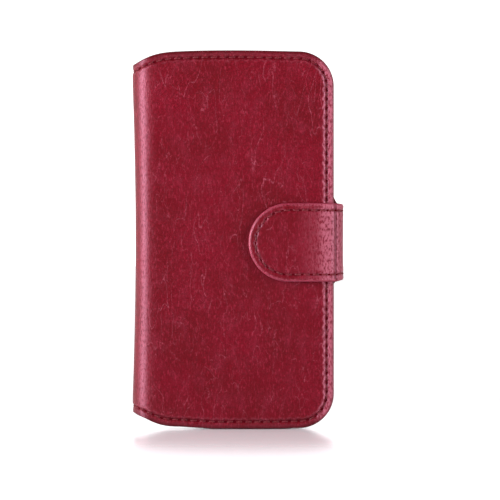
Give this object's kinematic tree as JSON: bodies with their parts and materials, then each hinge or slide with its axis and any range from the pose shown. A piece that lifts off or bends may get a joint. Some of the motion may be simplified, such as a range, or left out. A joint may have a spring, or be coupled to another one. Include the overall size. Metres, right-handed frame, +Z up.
{
  "type": "phone wallet case",
  "caption": "Leather folio case for a phone: hinged front cover with card slots, snap-in phone shell, rounded spine and a magnetic wrap-round strap.",
  "frame": {"origin": "middle of the closed case's bounding box, strap included, at the height of the covers' bottom edge", "axes": "+Z up along the case's length, -Y out of the front cover, -X towards the spine, +X towards the strap"},
  "size_m": [0.0808, 0.02, 0.145],
  "materials": {
    "leather": "waxed wine-red leather, semi-gloss, fine grain",
    "lining": "wine-red microfibre, matt",
    "foam": "thin pale padding, matt",
    "board": "grey-brown stiffening board, matt",
    "thread": "dark red twisted thread",
    "shell_plastic": "black moulded plastic, satin",
    "keeper_steel": "zinc-plated steel disc",
    "magnet": "nickel-plated magnet disc"
  },
  "bodies": {
    "rear_cover": {"rear_leather": "leather", "rear_foam": "foam", "rear_board": "board", "rear_lining": "lining", "rear_stitching": "thread", "phone_shell": "shell_plastic", "strap_root_lining": "lining"},
    "spine": {"spine_leather": "leather", "spine_lining": "lining", "spine_stitching_top": "thread", "spine_stitching_bottom": "thread"},
    "front_cover": {"front_leather": "leather", "front_foam": "foam", "front_board": "board", "front_keeper_disc": "keeper_steel", "front_lining": "lining", "front_stitching": "thread", "cash_pocket_panel": "lining", "card_slot_panel_1": "lining", "card_slot_panel_2": "lining", "card_slot_panel_3": "lining"},
    "strap_side": {"strap_side_leather": "leather", "strap_side_lining": "lining", "strap_side_stitching_top": "thread", "strap_side_stitching_bottom": "thread"},
    "strap_tab": {"tab_leather": "leather", "tab_filler": "foam", "tab_magnet": "magnet", "tab_lining": "lining", "tab_stitching": "thread"}
  },
  "joints": [
    {"name": "spine_fold", "type": "hinge", "parent": "rear_cover", "child": "spine", "pos_m": [-0.03812, 0.00777, 0.0725], "axis": [0, 0, -1], "range_deg": [0, 170]},
    {"name": "front_cover_fold", "type": "hinge", "parent": "spine", "child": "front_cover", "pos_m": [-0.03812, -0.00507, 0.0725], "axis": [0, 0, -1], "range_deg": [0, 170]},
    {"name": "strap_root_fold", "type": "hinge", "parent": "rear_cover", "child": "strap_side", "pos_m": [0.03935, 0.009, 0.0714], "axis": [0, 0, 1], "range_deg": [0, 170]},
    {"name": "strap_tab_fold", "type": "hinge", "parent": "strap_side", "child": "strap_tab", "pos_m": [0.03935, -0.009, 0.0714], "axis": [0, 0, 1], "range_deg": [0, 90]}
  ]
}
